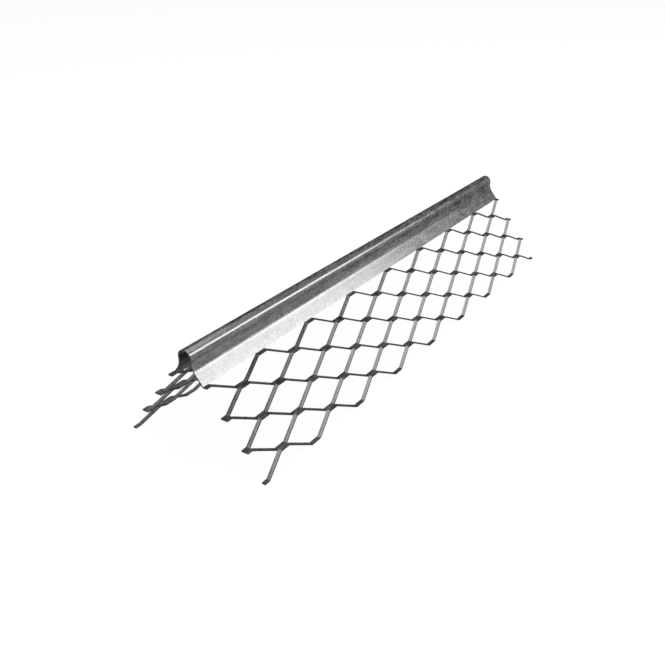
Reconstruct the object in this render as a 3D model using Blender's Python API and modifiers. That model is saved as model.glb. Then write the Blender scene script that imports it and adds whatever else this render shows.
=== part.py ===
"""Expanded-metal corner bead: a hollow roll-formed nose with a solid flange and an open diamond-mesh wing each side.

The real bead is one strip of galvanised steel. The strip is slit near both edges, the slit zones are pulled out into
diamond mesh, and its middle is rolled into the nose. This script makes it in the same order: a flat blank, the slits,
the stretch and the roll forming, and then the sheet's thickness. +X runs along the bead, +Z points up through the
nose, and the bead stands on the free edges of its two wings.
"""

import math

import bmesh
import bpy

MM = 0.001

# The sheet and the length of the piece.
SHEET_THICKNESS = 0.5 * MM
DIAMOND_PITCH = 25.0 * MM  # bond centre to bond centre along the bead
DIAMONDS_LONG = 8  # the ends are cut through the middle of a bond

# The roll-formed middle, on its outer face, from the crown down to the edge of the flange.
NOSE_RADIUS = 2.5 * MM
NOSE_UNDERCUT = math.radians(8.0)  # how far past upright the crown turns, so that the nose narrows below it
NECK_RADIUS = 5.1 * MM  # the hollow bend that leads from the crown out to the flange
FLANGE_WIDTH = 4.1 * MM  # flat solid strip between the neck and the first slits
WING_ANGLE = math.radians(39.0)  # between a wing and the bead's centre plane

# The expanded mesh of each wing.
STRANDS = 6  # ribbons side by side in one wing
STRAND_WIDTH = 1.22 * MM
BOND_LENGTH = 4.05 * MM  # where two neighbouring ribbons stay joined
BOND_ROW_STEP = 5.36 * MM  # from one row of bonds to the next, down the wing
BOND_TILT = math.radians(51.0)  # how far stretching turned the bonds out of the wing's plane

# Facets of the two bends.
CROWN_FACETS = 18
NECK_FACETS = 8

HALF_PITCHES = 2 * DIAMONDS_LONG
HALF_PITCH = DIAMOND_PITCH / 2
PIECE_LENGTH = DIAMONDS_LONG * DIAMOND_PITCH


def stations():
    """Places along the blank: the two ends of the bond, or bond gap, at each half pitch, and the cut ends."""
    places = [0.0]
    for half_pitch in range(HALF_PITCHES + 1):
        middle = half_pitch * HALF_PITCH
        places += [middle - BOND_LENGTH / 2, middle + BOND_LENGTH / 2]
    return [place for place in places if 0 <= place < PIECE_LENGTH] + [PIECE_LENGTH]


def half_profile():
    """Outer face of the rolled middle as (y, z) points, from the crown to the flange's edge, on the +Y side.

    A pen starts at the crown, heading outwards, and follows the bends and flats in the order of the strip:
    crown arc, neck arc the other way, flange. z is 0 at the flange's edge.
    """
    y, z, heading = 0.0, 0.0, 0.0  # heading is the angle below the horizontal
    points = [(y, z)]

    def draw_flat(length):
        nonlocal y, z
        y += length * math.cos(heading)
        z -= length * math.sin(heading)
        points.append((y, z))

    def draw_arc(radius, turn, facets):
        nonlocal heading
        step = turn / facets
        chord = 2 * radius * math.sin(abs(step) / 2)
        for _ in range(facets):
            heading += step / 2
            draw_flat(chord)
            heading += step / 2

    downwards = math.pi / 2
    draw_arc(NOSE_RADIUS, downwards + NOSE_UNDERCUT, CROWN_FACETS // 2)
    draw_arc(NECK_RADIUS, -NOSE_UNDERCUT - WING_ANGLE, NECK_FACETS)
    draw_flat(FLANGE_WIDTH)
    return [(py, pz - z) for py, pz in points]


def is_bonded(row, half_pitch):
    """Bonds of neighbouring rows are staggered by half a pitch. Row 0 is the flange's edge."""
    return (row - half_pitch) % 2 == 0


def strand_edge(strand, half_pitch, outer):
    """(y, z) of one edge of a strand at a half pitch, on the +Y side, measured from the flange's edge.

    There the strand is one half of a bond: of the bond above it or of the one below it.
    """
    row = strand if is_bonded(strand, half_pitch) else strand + 1
    side = (1 if outer else 0) - (row - strand)  # strand widths from the bond's middle line
    turned = WING_ANGLE + BOND_TILT
    y = row * BOND_ROW_STEP * math.sin(WING_ANGLE) + side * STRAND_WIDTH * math.sin(turned)
    z = -row * BOND_ROW_STEP * math.cos(WING_ANGLE) - side * STRAND_WIDTH * math.cos(turned)
    return y, z


class Blank:
    """The flat strip as a grid of faces: columns along the bead, lines across it, numbered from -Y to +Y."""

    def __init__(self):
        self.along = stations()
        self.profile = half_profile()
        self.flange_line = len(self.profile) - 1  # lines between the crown and the flange's edge
        self.edge_line = self.flange_line + STRANDS
        self.mesh = bmesh.new()
        columns = len(self.along) - 1
        bmesh.ops.create_grid(self.mesh, x_segments=columns, y_segments=2 * self.edge_line, size=0.5)
        self.column = self.mesh.verts.layers.int.new("column")
        self.line = self.mesh.verts.layers.int.new("line")
        for vert in self.mesh.verts:
            vert[self.column] = round((vert.co.x + 0.5) * columns)
            vert[self.line] = round(vert.co.y * 2 * self.edge_line)

    def half_pitch(self, column):
        """The half pitch whose bond, or bond gap, has this column of points at one of its ends."""
        return round(self.along[column] / HALF_PITCH)

    def slit(self):
        """Cuts along the lines between strands wherever the two strands aren't bonded."""
        cuts = []
        for edge in self.mesh.edges:
            first, second = edge.verts
            row = abs(first[self.line]) - self.flange_line
            runs_along = first[self.line] == second[self.line]
            if not runs_along or not 0 <= row < STRANDS:
                continue
            half_pitches = {self.half_pitch(vert[self.column]) for vert in edge.verts}
            in_a_bond = len(half_pitches) == 1 and is_bonded(row, half_pitches.pop())
            if not in_a_bond:
                cuts.append(edge)
        bmesh.ops.split_edges(self.mesh, edges=cuts)

    def form(self):
        """Stretches the strands out into diamonds and rolls the middle, one face after another."""
        edge_y, edge_z = self.profile[-1]
        for face in self.mesh.faces:
            lines = [vert[self.line] for vert in face.verts]
            side = 1 if sum(lines) > 0 else -1
            strand = min(abs(line) for line in lines) - self.flange_line
            for vert in face.verts:
                line = abs(vert[self.line])
                if strand < 0:
                    y, z = self.profile[line]
                else:
                    outer = line - self.flange_line > strand
                    y, z = strand_edge(strand, self.half_pitch(vert[self.column]), outer)
                    y, z = y + edge_y, z + edge_z
                vert.co = (self.along[vert[self.column]] - PIECE_LENGTH / 2, side * y, z)

    def stand_up(self):
        """Moves the bead up until the undersides of its lowest bonds are at z = 0."""
        lowest = min(vert.co.z for vert in self.mesh.verts) - SHEET_THICKNESS
        bmesh.ops.translate(self.mesh, verts=self.mesh.verts, vec=(0, 0, -lowest))


def galvanised_steel():
    material = bpy.data.materials.new("galvanised_steel")
    material.use_nodes = True
    shader = material.node_tree.nodes["Principled BSDF"]
    shader.inputs["Base Color"].default_value = (0.52, 0.53, 0.54, 1)
    shader.inputs["Metallic"].default_value = 1.0
    shader.inputs["Roughness"].default_value = 0.35
    return material


def build_corner_bead(collection):
    blank = Blank()
    blank.slit()
    blank.form()
    blank.stand_up()
    mesh = bpy.data.meshes.new("corner_bead")
    blank.mesh.to_mesh(mesh)
    blank.mesh.free()
    mesh.shade_smooth()
    mesh.set_sharp_from_angle(angle=math.radians(20))
    mesh.materials.append(galvanised_steel())
    bead = bpy.data.objects.new("corner_bead", mesh)
    collection.objects.link(bead)
    wall = bead.modifiers.new("sheet", "SOLIDIFY")
    wall.thickness = SHEET_THICKNESS
    wall.offset = -1  # the sheet lies inside the outer face
    wall.use_even_offset = True
    return bead


def main():
    for obj in list(bpy.data.objects):
        bpy.data.objects.remove(obj)
    collection = bpy.data.collections.new("corner_bead")
    bpy.context.scene.collection.children.link(collection)
    build_corner_bead(collection)


main()
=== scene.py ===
# %% [markdown]
# A galvanised corner bead, dressed for its picture.
#
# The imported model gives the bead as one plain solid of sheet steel. This lesson draws the same sheet again as
# a finer surface, with soft bends and its own finish, and lets it stand for that solid. All lengths are in
# metres, and the sheet's sizes are the ones that the solid was built with, so the two lie on each other.

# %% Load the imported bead
import math

import bmesh
import bpy
import numpy as np
from mathutils import Matrix, Vector


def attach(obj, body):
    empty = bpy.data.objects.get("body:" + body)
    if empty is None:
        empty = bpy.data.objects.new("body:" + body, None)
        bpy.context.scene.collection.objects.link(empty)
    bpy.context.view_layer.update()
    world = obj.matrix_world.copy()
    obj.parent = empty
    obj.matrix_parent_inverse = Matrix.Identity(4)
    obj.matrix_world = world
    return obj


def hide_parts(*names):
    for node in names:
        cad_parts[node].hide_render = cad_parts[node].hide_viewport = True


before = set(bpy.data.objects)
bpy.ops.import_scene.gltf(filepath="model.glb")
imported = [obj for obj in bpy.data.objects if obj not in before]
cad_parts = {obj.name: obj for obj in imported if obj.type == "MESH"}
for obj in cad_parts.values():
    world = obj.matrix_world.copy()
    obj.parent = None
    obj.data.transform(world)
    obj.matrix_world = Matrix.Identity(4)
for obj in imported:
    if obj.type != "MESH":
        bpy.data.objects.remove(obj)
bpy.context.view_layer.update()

# %% [markdown]
# The camera stands to the near left of the bead and looks along it and down. A constraint could aim it at a
# point, but its small roll, as of a camera held by hand, would then need a second step. So its turn is
# written out. A camera in Blender looks along its own -Z with +Y up, and the columns of its turn are the
# directions right, up and back. They follow from the way it faces, how far it looks down, and the roll.

# %% Camera
CAMERA_PLACE = Vector((-0.23342, -0.14210, 0.13843))
FACING = math.radians(34.584)  # from +X towards +Y
LOOKING_DOWN = math.radians(27.300)
ROLL = math.radians(-0.997)
LENS_MM = 42.41
SENSOR_MM = 36
NEAREST_SEEN = 0.005


def camera_turn(facing, down, roll):
    """Right, up and back as the columns of a turn: the back is away from what the camera faces."""
    back = -Vector((math.cos(down) * math.cos(facing), math.cos(down) * math.sin(facing), -math.sin(down)))
    level_right = Vector((math.sin(facing), -math.cos(facing), 0))
    level_up = back.cross(level_right)
    right = level_right * math.cos(roll) + level_up * math.sin(roll)
    return Matrix((right, back.cross(right), back)).transposed()


camera_data = bpy.data.cameras.new("camera")
camera_data.lens = LENS_MM
camera_data.sensor_width = SENSOR_MM
camera_data.clip_start = NEAREST_SEEN
camera = bpy.data.objects.new("camera", camera_data)
turn = camera_turn(FACING, LOOKING_DOWN, ROLL)
camera.matrix_world = Matrix.Translation(CAMERA_PLACE) @ turn.to_4x4()
bpy.context.scene.collection.objects.link(camera)
bpy.context.scene.camera = camera
print("camera", round(CAMERA_PLACE.length, 3), "m from the bead's middle")

# %% [markdown]
# The sizes come first: the gauge of the sheet, the two bends and the flange of the section, and the pitch,
# width, bond and row step of the mesh. The lengths of the surfaces below all follow from them.

# %% Sizes of the sheet, as in the solid
SHEET = 0.0005
NOSE_RADIUS = 0.0025
UNDERCUT = math.radians(8)  # how far past upright the nose turns before the neck
NECK_RADIUS = 0.0051
FLANGE = 0.0041
WING = math.radians(39)  # between a wing and the bead's centre plane
PITCH = 0.025  # along the bead, from bond to bond of one row
PITCHES = 8
STRANDS = 6
STRAND_WIDTH = 0.00122
BOND = 0.00405
ROW_STEP = 0.00536  # from one row of bonds to the next, down the wing
HALF_PITCH = PITCH / 2
LENGTH = PITCH * PITCHES
print("bead", LENGTH, "m long, with", STRANDS, "strands in each wing")

# %% [markdown]
# The real bead starts as a flat strip. Rollers bend its middle into a hollow nose with a hollow neck on each
# side, and leave a plain flange beside each neck. A section like that could be drawn as a curve and extruded.
# Here it is a list of short steps, each with its own heading, and adding the steps up gives the section.
# Bends stay true arcs that way, and their smoothness is one number.

# %% Section of the rolled middle
CROWN_STEPS = 44
NECK_STEPS = 28
FLANGE_STEPS = 5


def rolled_section():
    """Outer face of the middle on the +Y side, from the crown to the flange's edge, as arrays y and z.

    Each step has a heading h below the horizontal and a length d: y is the running sum of d cos h and z of
    -d sin h. The heading grows evenly round the crown, shrinks evenly round the neck and then stays as it is
    down the flange.
    """
    crown_turn = math.pi / 2 + UNDERCUT
    neck_turn = UNDERCUT + WING
    crown = (np.arange(CROWN_STEPS) + 0.5) / CROWN_STEPS * crown_turn
    neck = crown_turn - (np.arange(NECK_STEPS) + 0.5) / NECK_STEPS * neck_turn
    headings = np.concatenate([crown, neck, np.full(FLANGE_STEPS, math.pi / 2 - WING)])
    lengths = np.concatenate([
        np.full(CROWN_STEPS, 2 * NOSE_RADIUS * math.sin(crown_turn / CROWN_STEPS / 2)),
        np.full(NECK_STEPS, 2 * NECK_RADIUS * math.sin(neck_turn / NECK_STEPS / 2)),
        np.full(FLANGE_STEPS, FLANGE / FLANGE_STEPS),
    ])
    y = np.concatenate([[0], np.cumsum(lengths * np.cos(headings))])
    z = np.concatenate([[0], -np.cumsum(lengths * np.sin(headings))])
    return y, z


WING_HEIGHT = STRANDS * ROW_STEP * math.cos(WING)
section_y, section_z = rolled_section()
section_z = section_z - section_z[-1] + WING_HEIGHT + SHEET
print("nose top", round(section_z[0], 5), "m up, flange edge", round(section_y[-1], 5), "m out")

# %% [markdown]
# Each wing is six ribbons that the slits free from one another. Stretching pulls them apart, but every ribbon
# stays joined to the one above and the one below at bonds, by turns. Each diamond could be modelled and
# copied with an Array modifier, but its joins would show. So a ribbon is one surface that swings to and fro
# between two rows, and that swing is a wave of one number: 0 at the upper row, 1 at the lower, flat over each
# bond, sloped in between, with soft knees where it leaves the bond.

# %% Wave of a strand
RUN = HALF_PITCH - BOND  # length of a slope, along the bead
KNEE = 0.06  # length of each soft knee, as a share of the run
KNEE_POINTS = np.array([-0.5, -0.25, 0, 0.25, 0.5])  # shares of a knee, from its middle
SLOPE_POINTS = np.array([0.25, 0.5, 0.75])  # shares of the run
BOND_POINTS = np.array([-0.2, 0.2])  # shares of a bond, from its middle
SHORTEST_STEP = 1e-6


def stations():
    """Places along the bead where the surface has points: close together at the knees beside each bond."""
    knee = BOND / 2 + KNEE_POINTS * KNEE * RUN
    slope = BOND / 2 + SLOPE_POINTS * RUN
    one_step = np.concatenate([-knee[::-1], BOND_POINTS * BOND, knee, slope])
    every_step = (np.arange(2 * PITCHES + 1)[:, None] * HALF_PITCH + one_step).ravel()
    inside = every_step[(every_step > SHORTEST_STEP) & (every_step < LENGTH - SHORTEST_STEP)]
    return np.concatenate([[0], inside, [LENGTH]])


def swing(x, strand):
    """How far the strand has swung from its upper row to its lower one at x, from 0 to 1.

    t is the distance from the upper bond's end, as a share of the run. The swing is t, and each corner is
    rounded by a parabola that starts half a KNEE before it and ends half a KNEE past it.
    """
    first = (strand % 2) * HALF_PITCH
    away = np.abs((x - first + HALF_PITCH) % PITCH - HALF_PITCH)
    t = (away - BOND / 2) / RUN
    start = np.maximum(t + KNEE / 2, 0) ** 2 / (2 * KNEE)
    end = 1 - np.maximum(1 - t + KNEE / 2, 0) ** 2 / (2 * KNEE)
    return np.select([t < KNEE / 2, t > 1 - KNEE / 2], [start, end], t)


along = stations()
print(len(along), "stations along the bead")

# %% [markdown]
# Both kinds of surface are grids: one way along the bead, the other way across the strip. A function for each
# gives the places of its points as whole arrays, with no loop over single points.

# %% Grids of the sheet
ACROSS_STRAND = np.array([0, 0.5, 1])


def middle_grid():
    """Points of the rolled middle: the section, mirrored, carried straight along X."""
    y = np.concatenate([-section_y[:0:-1], section_y])
    z = np.concatenate([section_z[:0:-1], section_z])
    x = along - LENGTH / 2
    return np.stack(np.broadcast_arrays(x[:, None], y[None, :], z[None, :]), axis=-1)


def strand_grid(strand, side):
    """Points of one strand, on the +Y side where side is 1 and on the other where it is -1.

    A point has its strand's swing s, and v from 0 to 1 across the strand. It lies strand + s rows down the
    wing, and from there v - s strand widths out, level.
    """
    s = swing(along, strand)[:, None]
    v = ACROSS_STRAND[None, :]
    down = (strand + s) * ROW_STEP
    x = (along - LENGTH / 2)[:, None]
    y = section_y[-1] + down * math.sin(WING) + (v - s) * STRAND_WIDTH
    z = section_z[-1] - down * math.cos(WING)
    points = np.stack(np.broadcast_arrays(x, side * y, z), axis=-1)
    return points[:, ::side]  # from -Y to +Y on both sides, so that all faces point outwards


grids = [middle_grid()] + [strand_grid(strand, side) for side in (1, -1) for strand in range(STRANDS)]
print(len(grids), "grids with", sum(grid.shape[0] * grid.shape[1] for grid in grids), "points")

# %% [markdown]
# A helper turns the grids into faces, and where two ribbons share a bond their points fall on each other and
# are merged. Then one Solidify gives the whole sheet its gauge. It also sorts the faces into three slots,
# because they don't look alike: the outside, the sheared rims and the inside.

# %% Sheet from the grids
SAME_POINT = 1e-7
OUTSIDE, SHEARED, INSIDE = range(3)


def grid_faces(rows, columns, first):
    """Corner numbers of the quads between neighbouring points of a grid, counted from first."""
    number = first + np.arange(rows * columns).reshape(rows, columns)
    corners = [number[:-1, :-1], number[1:, :-1], number[1:, 1:], number[:-1, 1:]]
    return np.stack(corners, axis=-1).reshape(-1, 4)


def sheet_mesh(name, grids):
    """One mesh from several grids, with points that fall on each other merged."""
    points, faces, count = [], [], 0
    for grid in grids:
        rows, columns = grid.shape[:2]
        points.append(grid.reshape(-1, 3))
        faces.append(grid_faces(rows, columns, count))
        count += rows * columns
    mesh = bpy.data.meshes.new(name)
    mesh.from_pydata(np.concatenate(points).tolist(), [], np.concatenate(faces).tolist())
    work = bmesh.new()
    work.from_mesh(mesh)
    bmesh.ops.remove_doubles(work, verts=work.verts, dist=SAME_POINT)
    work.to_mesh(mesh)
    work.free()
    return mesh


bead = bpy.data.objects.new("steel_bead", sheet_mesh("outer_face", grids))
bpy.context.scene.collection.objects.link(bead)
gauge = bead.modifiers.new("gauge", "SOLIDIFY")
gauge.thickness = SHEET
gauge.offset = -1  # the sheet lies inside its outer face
gauge.use_even_offset = True
gauge.material_offset_rim = SHEARED
gauge.material_offset = INSIDE
print("outer face:", len(bead.data.polygons), "faces")

# %% [markdown]
# The wall is applied to the mesh before the shading is set. Smooth shading would otherwise run round the rims
# and make the thin strands look like rods. Edges that turn by more than a few degrees are folds or rims, and
# sharp.

# %% Apply the wall and mark its sharp edges
SHARP_TURN = math.radians(14)

for slot_number in (OUTSIDE, SHEARED, INSIDE):
    bead.data.materials.append(None)
bead_mesh = bpy.data.meshes.new_from_object(bead.evaluated_get(bpy.context.evaluated_depsgraph_get()))
bead_mesh.name = "steel_bead"
bead.modifiers.clear()
bead.data = bead_mesh
bead_mesh.shade_smooth()
bead_mesh.set_sharp_from_angle(angle=SHARP_TURN)
print("sheet:", len(bead_mesh.vertices), "points,", len(bead_mesh.polygons), "faces")

# %% [markdown]
# Shader maths reads best as plain sums. A small class holds a socket and turns each operator into a Math
# node, so a pattern can be written as a line of Python.

# %% Sums of sockets
class Wire:
    """An output socket that can be added, subtracted and multiplied."""

    def __init__(self, finish, socket):
        self.finish = finish
        self.socket = socket

    def _with(self, operation, first, second):
        return self.finish.node("ShaderNodeMath", {"operation": operation}, {0: first, 1: second})

    def __add__(self, other):
        return self._with("ADD", self, other)

    def __radd__(self, other):
        return self._with("ADD", other, self)

    def __sub__(self, other):
        return self._with("SUBTRACT", self, other)

    def __rsub__(self, other):
        return self._with("SUBTRACT", other, self)

    def __mul__(self, other):
        return self._with("MULTIPLY", self, other)

    def __rmul__(self, other):
        return self._with("MULTIPLY", other, self)

# %% [markdown]
# All other nodes come from one method, which sets what the node is first and then fills its sockets. The few
# kinds that every finish here needs have a short method of their own that calls it.

# %% Nodes of a finish
class Finish:
    """The nodes of one material, or of the world."""

    def __init__(self, owner):
        self.owner = owner
        owner.use_nodes = True
        self.tree = owner.node_tree
        self.tree.nodes.clear()

    def node(self, kind, settings=None, sockets=None, output=0):
        """Adds a node, sets it up, fills its sockets with numbers or wires, and returns one output."""
        made = self.tree.nodes.new(kind)
        for name, value in (settings or {}).items():
            setattr(made, name, value)
        for name, value in (sockets or {}).items():
            if isinstance(value, Wire):
                self.tree.links.new(value.socket, made.inputs[name])
            else:
                made.inputs[name].default_value = value
        return Wire(self, made.outputs[output]) if made.outputs else None

    def place(self, scale=(1, 1, 1)):
        """Object coordinates, times scale."""
        here = self.node("ShaderNodeTexCoord", output="Object")
        return self.node("ShaderNodeMapping", {"vector_type": "POINT"}, {"Vector": here, "Scale": scale})

    def noise(self, size, squeeze=1, detail=3.0, roughness=0.55):
        """Soft random values about 0.5, with features about size metres across.

        Places along the bead count for squeeze times their length, so the features are longer that way.
        """
        place = self.place((squeeze, 1, 1))
        return self.node(
            "ShaderNodeTexNoise", {},
            {"Vector": place, "Scale": 1 / size, "Detail": detail, "Roughness": roughness},
        )

    def ramp(self, value, low, high, out_low=0.0, out_high=1.0):
        """Straightens value from low..high to out_low..out_high, and holds it there outside."""
        return self.node(
            "ShaderNodeMapRange", {"clamp": True},
            {"Value": value, "From Min": low, "From Max": high, "To Min": out_low, "To Max": out_high},
        )

    def blend(self, share, first, second):
        """Colour first where share is 0 and second where it is 1. The numbers are the colour sockets."""
        return self.node("ShaderNodeMix", {"data_type": "RGBA"}, {0: share, 6: first, 7: second}, output=2)

    def bump(self, height, strength, distance):
        """Normal of a surface that height raises by up to distance, in metres."""
        return self.node("ShaderNodeBump", {}, {"Strength": strength, "Distance": distance, "Height": height})

    def end(self, shader, kind="ShaderNodeOutputMaterial"):
        """Leads the shader to the output, and returns the material or world."""
        self.node(kind, {}, {"Surface": shader})
        print(self.owner.name, "has", len(self.tree.nodes), "nodes")
        return self.owner

# %% [markdown]
# Galvanised sheet is steel under a thin skin of zinc. The zinc froze in crystals, which show as faint patches
# a few millimetres wide, some a little smoother than others, and since then it has grown a dull oxide in soft
# clouds with a fine grain. Rolling has drawn the clouds out along the bead and left hair-fine lines on the
# nose and flange. A photograph of zinc could be wrapped round the sheet, but it would blur up close, so every
# pattern is worked out. The patches are a Voronoi pattern with a random value for each cell, and the rest is
# noise, squeezed along the bead so that its features come out longer that way.

# %% Patterns of the zinc
CRYSTALS_PER_METRE = 320.0
CLOUD = {"size": 0.0026, "squeeze": 0.3, "detail": 4.0, "roughness": 0.65}
GRAIN = {"size": 0.0007, "squeeze": 0.5, "detail": 2.0, "roughness": 0.6}
LINES = {"size": 0.0005, "squeeze": 0.03, "detail": 2.0}
LINES_FADE = 0.0004  # height over which the lines fade in above the flange's edge


def zinc_patterns(finish):
    """The patterns by name, each about 0 to 1, and the streaks of the rolling lines about -0.5 to 0.5."""
    here = finish.place()
    crystal = finish.node(
        "ShaderNodeTexVoronoi", {"feature": "F1"},
        {"Vector": here, "Scale": CRYSTALS_PER_METRE, "Randomness": 1.0}, output="Color",
    )
    height = finish.node("ShaderNodeSeparateXYZ", {}, {"Vector": here}, output="Z")
    flange_edge = float(section_z[-1])
    rolled = finish.ramp(height, flange_edge, flange_edge + LINES_FADE)
    return {
        "patch": finish.node("ShaderNodeSeparateColor", {}, {"Color": crystal}),
        "cloud": finish.noise(**CLOUD),
        "grain": finish.noise(**GRAIN),
        "streaks": (finish.noise(**LINES) - 0.5) * rolled,
    }


def weighed(patterns, weights):
    """Sum of the patterns that have a weight, each times its weight."""
    return sum(patterns[name] * weight for name, weight in weights.items())

# %% [markdown]
# The patterns are weighed three times: for the oxide, the roughness and the relief. Where the oxide is thick
# the colour is paler but the surface is less metallic, so the mirror in it stays even. The inside has the
# same finish and is duller, and its colours are darker: that darkness is painted shade, for the shade that
# falls in the hollow of the nose.

# %% Zinc on both faces of the sheet
OXIDE_WEIGHTS = {"patch": 0.12, "cloud": 1.0, "grain": 1.4, "streaks": 1.0}
OXIDE_STARTS, OXIDE_COVERS = 0.96, 1.56  # weighed sums at which it is bare and at which it is all oxide
DULLING_WEIGHTS = {"patch": 0.05, "cloud": 0.04}
RELIEF_WEIGHTS = {"cloud": 0.25, "patch": 0.08, "grain": 0.03, "streaks": 0.05}
RELIEF_STRENGTH = 0.12
RELIEF_HEIGHT = 0.00006
EDGE_TINT = (0.04, 0.04, 0.04, 1)  # how bright the metal stays where it is seen edge-on
OUTER_ZINC = {
    "clean": (0.119, 0.1195, 0.120, 1), "clean_metal": 0.97,
    "oxide": (0.186, 0.1865, 0.187, 1), "oxide_metal": 0.62, "dullness": 0.20,
}
# The inside's colours are darker than the outside's: painted shade for the hollow of the nose.
SHADED_INNER_ZINC = {
    "clean": (0.052, 0.052, 0.053, 1), "clean_metal": 0.80,
    "oxide": (0.070, 0.070, 0.071, 1), "oxide_metal": 0.65, "dullness": 0.34,
}


def zinc_face(name, clean, clean_metal, oxide, oxide_metal, dullness):
    """Spangled zinc. dullness is the roughness of its smoothest patches."""
    finish = Finish(bpy.data.materials.new(name))
    patterns = zinc_patterns(finish)
    oxide_share = finish.ramp(weighed(patterns, OXIDE_WEIGHTS), OXIDE_STARTS, OXIDE_COVERS)
    height = weighed(patterns, RELIEF_WEIGHTS)
    shader = finish.node("ShaderNodeBsdfPrincipled", {}, {
        "Base Color": finish.blend(oxide_share, clean, oxide),
        "Metallic": finish.ramp(oxide_share, 0, 1, clean_metal, oxide_metal),
        "Specular Tint": EDGE_TINT,
        "Roughness": dullness + weighed(patterns, DULLING_WEIGHTS),
        "Normal": finish.bump(height, RELIEF_STRENGTH, RELIEF_HEIGHT),
    })
    return finish.end(shader)


bead_mesh.materials[OUTSIDE] = zinc_face("rolled_zinc", **OUTER_ZINC)
# The inner faces take the darker zinc, which is painted shade.
bead_mesh.materials[INSIDE] = zinc_face("inner_zinc_painted_shade", **SHADED_INNER_ZINC)

# %% [markdown]
# The slitting knives leave a bare edge: half of it is cut smooth and half torn, so it is rougher and darker
# than the zinc. The rims of the sheet take this second finish.

# %% Sheared edge
TEAR = {"size": 0.0005, "detail": 4.0, "roughness": 0.65}
TEAR_STARTS, TEAR_ENDS = 0.3, 0.7  # noise at which the rim is cut smooth and at which it is torn
TEAR_STRENGTH = 0.3
TEAR_HEIGHT = 0.00005
SMOOTH_CUT_COLOUR = (0.045, 0.045, 0.046, 1)
TORN_COLOUR = (0.105, 0.105, 0.106, 1)
SMOOTH_CUT_ROUGHNESS, TORN_ROUGHNESS = 0.38, 0.55


def sheared_edge():
    """Bare steel between two colours and two roughnesses, by how far it is torn."""
    finish = Finish(bpy.data.materials.new("sheared_steel"))
    tear = finish.noise(**TEAR)
    torn = finish.ramp(tear, TEAR_STARTS, TEAR_ENDS)
    shader = finish.node("ShaderNodeBsdfPrincipled", {}, {
        "Base Color": finish.blend(torn, SMOOTH_CUT_COLOUR, TORN_COLOUR),
        "Metallic": 1.0,
        "Specular Tint": EDGE_TINT,
        "Roughness": finish.ramp(torn, 0, 1, SMOOTH_CUT_ROUGHNESS, TORN_ROUGHNESS),
        "Normal": finish.bump(tear, TEAR_STRENGTH, TEAR_HEIGHT),
    })
    return finish.end(shader)


bead_mesh.materials[SHEARED] = sheared_edge()

# %% [markdown]
# The bead rides on the only body there is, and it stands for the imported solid, which stays for collision.

# %% Attach the bead
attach(bead, "root")
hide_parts("corner_bead")
print(bead.name, "stands for corner_bead")

# %% [markdown]
# The stage is a plain white floor under the free edges of the wings. A white floor under soft light would
# come out grey, and more light would bleach the bead. So the floor glows, but only to the camera and in
# reflections. A small share of it is left matt, and that share takes the soft shadow near the bead.

# %% Floor
FLOOR_HALF = 4.0
FLOOR_GLOW = 0.94  # share of the glow in what the camera and reflections see
FLOOR_PAINT = (0.85, 0.85, 0.85, 1)
WHITE = (1, 1, 1, 1)


def floor_finish():
    """Matt paint, with a share of glow on camera, glossy and transmission rays."""
    finish = Finish(bpy.data.materials.new("floor_white"))
    shown = finish.node("ShaderNodeLightPath", output="Is Camera Ray")
    for ray in ("Is Glossy Ray", "Is Transmission Ray"):
        kind = finish.node("ShaderNodeLightPath", output=ray)
        shown = finish.node("ShaderNodeMath", {"operation": "MAXIMUM"}, {0: shown, 1: kind})
    matt = finish.node("ShaderNodeBsdfDiffuse", {}, {"Color": FLOOR_PAINT})
    glow = finish.node("ShaderNodeEmission", {}, {"Color": WHITE, "Strength": 1.0})
    return finish.end(finish.node("ShaderNodeMixShader", {}, {0: shown * FLOOR_GLOW, 1: matt, 2: glow}))


corners = np.array([[-1, -1, 0], [1, -1, 0], [1, 1, 0], [-1, 1, 0]]) * FLOOR_HALF
floor_mesh = bpy.data.meshes.new("floor")
floor_mesh.from_pydata(corners.tolist(), [], [[0, 1, 2, 3]])
floor_mesh.materials.append(floor_finish())
floor = bpy.data.objects.new("floor", floor_mesh)
bpy.context.scene.collection.objects.link(floor)
print("floor", 2 * FLOOR_HALF, "m wide")

# %% [markdown]
# Metal shows its surroundings, so the lamps are placed for what the faces mirror. Each is a flat panel, as a
# soft box in a studio is. A panel is set up by the direction that its back is turned to, and by how bright it
# looks, because a larger panel of the same power would look dimmer.

# %% Lamp helpers
AIM = Vector((0, 0, 0.02))


def direction(facing, height):
    """The direction with that compass angle and height angle, in degrees."""
    turn, rise = math.radians(facing), math.radians(height)
    return Vector((math.cos(rise) * math.cos(turn), math.cos(rise) * math.sin(turn), math.sin(rise)))


def set_up(back, turned):
    """Turn of a panel with its back to that direction, turned by so many degrees in its own plane."""
    upright = back.to_track_quat("Z", "Y").to_matrix()
    return upright @ Matrix.Rotation(math.radians(turned), 3, "Z")


def panel(name, offset, turn, wide, tall, radiance):
    """A rectangular lamp at AIM plus offset. Its power is radiance times area times pi."""
    data = bpy.data.lights.new(name, "AREA")
    data.shape = "RECTANGLE"
    data.size = wide
    data.size_y = tall
    data.energy = radiance * wide * tall * math.pi
    lamp = bpy.data.objects.new(name, data)
    lamp.location = AIM + offset
    lamp.rotation_euler = turn.to_euler()
    bpy.context.scene.collection.objects.link(lamp)
    print(name, round(data.energy, 2), "W")

# %% [markdown]
# One long lamp low on the right draws the bright line down the nose, repeats it as a hair line in the neck
# and gives the flange its even sheen. It is brighter in its lower part. One panel can't be, so there are two
# in one plane, a large soft one and a small bright one that share three edges.

# %% Side lamp
SIDE_FACING, SIDE_HEIGHT, SIDE_TURNED = -48.4, 25.0, -26.0  # degrees
SIDE_DISTANCE = 0.9
SIDE_WIDTH = 0.516
SIDE_FOOT = -0.106  # of both panels: foot and tops are taken up from the line between AIM and the lamp
SOFT_TOP = 0.165
BRIGHT_TOP = 0.050
SOFT_RADIANCE = 6.7
BRIGHT_RADIANCE = 16.5  # where the two overlap

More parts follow.
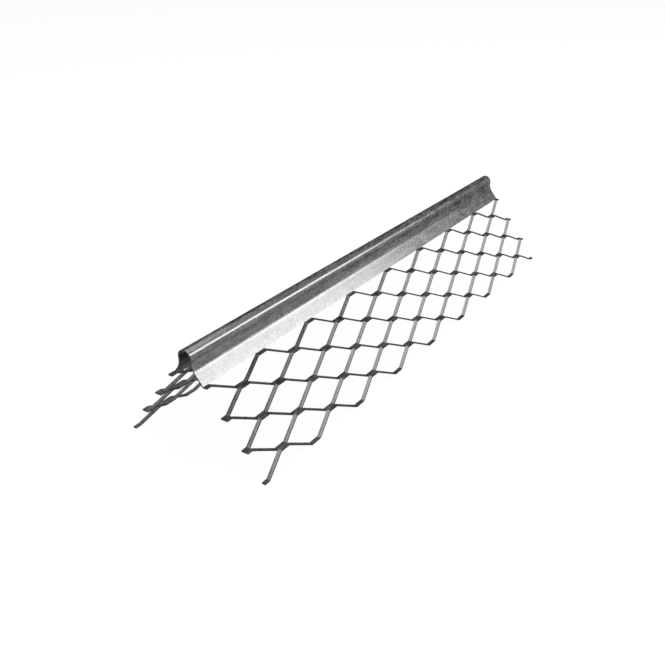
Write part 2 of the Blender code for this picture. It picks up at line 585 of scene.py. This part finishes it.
towards_side = direction(SIDE_FACING, SIDE_HEIGHT)
side_turn = set_up(towards_side, SIDE_TURNED)
for name, top, radiance in (
    ("soft_side_panel", SOFT_TOP, SOFT_RADIANCE),
    ("bright_side_panel", BRIGHT_TOP, BRIGHT_RADIANCE - SOFT_RADIANCE),
):
    middle = side_turn.col[1] * (SIDE_FOOT + top) / 2
    panel(
        name, towards_side * SIDE_DISTANCE + middle, side_turn,
        wide=SIDE_WIDTH, tall=top - SIDE_FOOT, radiance=radiance,
    )

# %% [markdown]
# A wide panel overhead lights the strands that lean towards the camera. It ends where it does so that the
# bonds and most of the nose look past it, and stay dark.

# %% Ceiling lamp
CEILING_X = (-0.55, 0.76)  # from and to
CEILING_Y = (-0.55, 0.66)
CEILING_HEIGHT = 1.0
CEILING_RADIANCE = 2.6

panel(
    "ceiling_panel", Vector((sum(CEILING_X) / 2, sum(CEILING_Y) / 2, CEILING_HEIGHT)),
    set_up(Vector((0, 0, 1)), turned=0),
    wide=CEILING_X[1] - CEILING_X[0], tall=CEILING_Y[1] - CEILING_Y[0], radiance=CEILING_RADIANCE,
)

# %% [markdown]
# All else that the metal mirrors is a grey room. At the level of the floor it is as white as the floor, and a
# few degrees above that it has faded to grey, so that the floor has no hard far edge. A backdrop of mesh
# could do this too, but it would have to stand on every side.

# %% Room
HORIZON_SINE = 0.01  # sine of the height angle up to which the room is as white as the floor
WALL_SINE = 0.11  # and from which it is grey
ROOM_GREY = 0.47


def studio_room():
    """The world, whose brightness falls in a straight line with the sine of the height angle."""
    room = Finish(bpy.data.worlds.new("studio_room"))
    outwards = room.node("ShaderNodeTexCoord", output="Generated")
    rise = room.node("ShaderNodeSeparateXYZ", {}, {"Vector": outwards}, output="Z")
    brightness = room.ramp(rise, HORIZON_SINE, WALL_SINE, FLOOR_GLOW, ROOM_GREY)
    wall = room.node("ShaderNodeBackground", {}, {"Color": WHITE, "Strength": brightness})
    return room.end(wall, "ShaderNodeOutputWorld")


bpy.context.scene.world = studio_room()
bpy.context.scene.view_settings.view_transform = "Standard"
